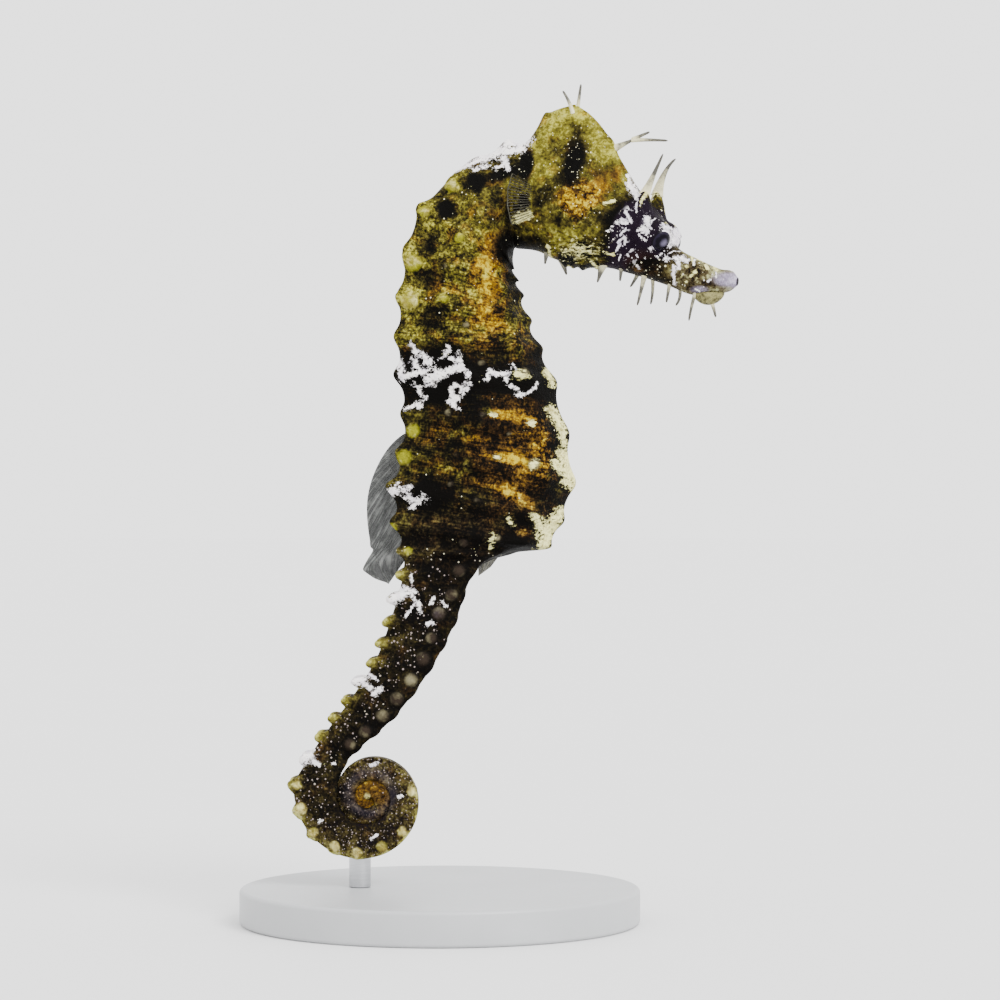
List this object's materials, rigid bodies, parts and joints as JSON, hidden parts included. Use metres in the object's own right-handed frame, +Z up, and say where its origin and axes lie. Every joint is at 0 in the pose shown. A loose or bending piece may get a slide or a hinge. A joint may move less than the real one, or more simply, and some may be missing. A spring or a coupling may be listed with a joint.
{
  "type": "seahorse",
  "caption": "Life-size lined seahorse with bony rings, knobs, fins and skin filaments, tail coiled, held still by a short rod on a plain round base.",
  "frame": {"origin": "Centre of the flat underside of the stand's round base.", "axes": "+Z up, +X towards the snout in the plane of the body, +Y towards the seahorse's left side."},
  "size_m": [0.0594, 0.048, 0.1003],
  "materials": {
    "skin": "mottled olive, brown and black bony skin with white, cream and golden markings, slightly moist",
    "eye": "glossy dark eye with a dark round pupil and a violet-grey iris with pale streaks",
    "fin": "thin grey membrane with fine rays",
    "stand_base": "plain pale satin disc",
    "stand_rod": "plain satin metal rod"
  },
  "bodies": {
    "root": {"head": "skin", "coronet": "skin", "snout": "skin", "lower_jaw": "skin", "neck": "skin", "trunk_upper": "skin", "trunk_middle": "skin", "trunk_lower": "skin", "tail_1": "skin", "tail_2": "skin", "tail_3": "skin", "tail_4": "skin", "tail_5": "skin", "eye_right": "eye", "eye_left": "eye", "dorsal_fin": "fin", "anal_fin": "fin", "pectoral_fin_right": "fin", "pectoral_fin_left": "fin", "stand_base": "stand_base", "stand_rod": "stand_rod"}
  },
  "joints": []
}
